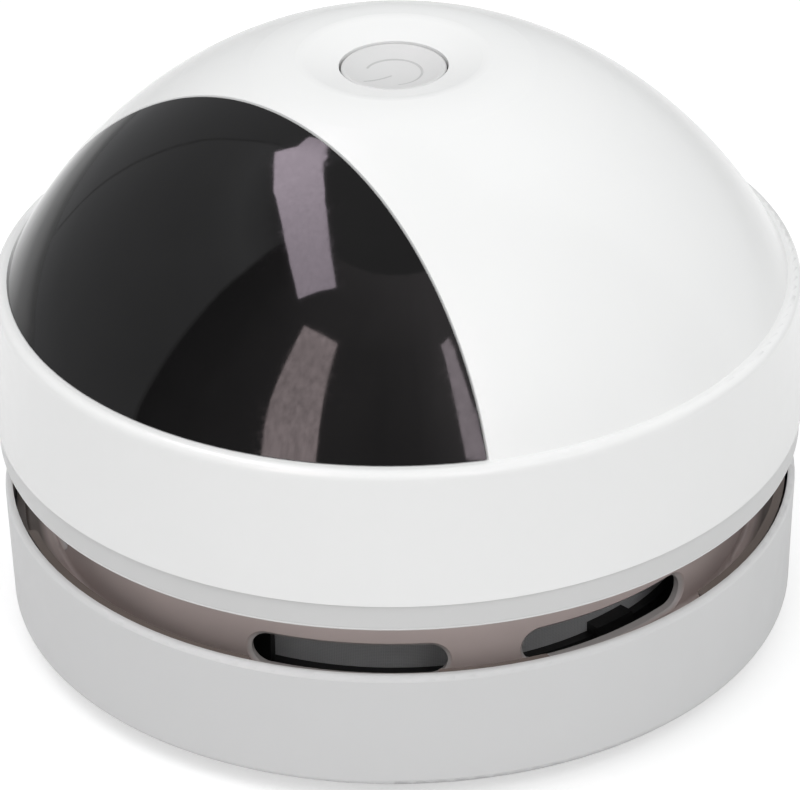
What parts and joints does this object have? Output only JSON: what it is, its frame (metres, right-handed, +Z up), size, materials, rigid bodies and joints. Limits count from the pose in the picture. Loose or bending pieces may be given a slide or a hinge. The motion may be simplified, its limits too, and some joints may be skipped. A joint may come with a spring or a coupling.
{
  "type": "desktop vacuum cleaner",
  "caption": "Small round desk vacuum: a domed upper unit with a dark visor, a power button, slots and a fan, over a lift-off dust cup with an intake brush",
  "frame": {"origin": "on the desk, under the middle of the round body", "axes": "+Z up along the axis of the body, -Y towards the visor, +X to the visor's right seen from the back"},
  "size_m": [0.085, 0.085, 0.063],
  "materials": {
    "shell_white": "gloss",
    "visor_black": "high gloss",
    "base_grey": "satin",
    "collar_smoke": "gloss",
    "chassis_grey": "satin",
    "cage_black": "satin",
    "mesh_grey": "woven",
    "duct_grey": "satin",
    "bristle_black": "matt",
    "rubber_dark": "matt",
    "seal_grey": "matt",
    "screw_steel": "bright",
    "button_white": "satin",
    "switch_black": "satin",
    "plunger_red": "satin",
    "board_green": "satin",
    "can_steel": "satin",
    "cap_white": "satin",
    "brass": "satin",
    "magnet_grey": "matt",
    "shaft_steel": "polished",
    "core_copper": "satin",
    "fan_black": "satin",
    "cell_blue": "satin wrap",
    "socket_steel": "bright",
    "light_clear": "clear, frosted",
    "lead_sleeve": "soft sleeve"
  },
  "bodies": {
    "base": {"base_shell": "base_grey", "intake_duct": "duct_grey", "brush_tufts": "bristle_black", "duct_screws": "screw_steel", "rubber_feet": "rubber_dark", "cup_seal": "seal_grey"},
    "filter_cage": {"filter_cage": "cage_black", "filter_mesh": "mesh_grey"},
    "upper_unit": {"chassis_plate": "chassis_grey", "exhaust_collar": "collar_smoke", "dome_shell": "shell_white", "visor_panel": "visor_black", "cage_seal": "seal_grey", "chassis_screws": "screw_steel", "motor_can": "can_steel", "motor_end_cap": "cap_white", "motor_bushes": "brass", "motor_magnets": "magnet_grey", "motor_terminals": "brass", "motor_screws": "screw_steel", "switch_board": "board_green", "switch_body": "switch_black", "switch_board_screws": "screw_steel", "battery_cell": "cell_blue", "charge_board": "board_green", "charge_socket": "socket_steel", "charge_light": "light_clear", "charge_board_screws": "screw_steel", "battery_leads": "lead_sleeve", "charge_leads": "lead_sleeve", "motor_leads": "lead_sleeve"},
    "rotor": {"motor_shaft": "shaft_steel", "armature_core": "core_copper", "commutator": "brass", "impeller": "fan_black"},
    "button": {"power_button": "button_white", "switch_plunger": "plunger_red"}
  },
  "joints": [
    {"name": "cage_twist", "type": "hinge", "parent": "base", "child": "filter_cage", "pos_m": [0, 0, 0.004], "axis": [0, 0, 1], "range_deg": [0, 20]},
    {"name": "lift_off", "type": "slide", "parent": "base", "child": "upper_unit", "axis": [0, 0, 1], "range_m": [0, 0.06]},
    {"name": "rotor_spin", "type": "hinge", "parent": "upper_unit", "child": "rotor", "pos_m": [0, 0, 0.02], "axis": [0, 0, 1], "continuous": true},
    {"name": "power_press", "type": "slide", "parent": "upper_unit", "child": "button", "axis": [0, 0, -1], "range_m": [0, 0.001], "stiffness_N_per_m": 400}
  ]
}
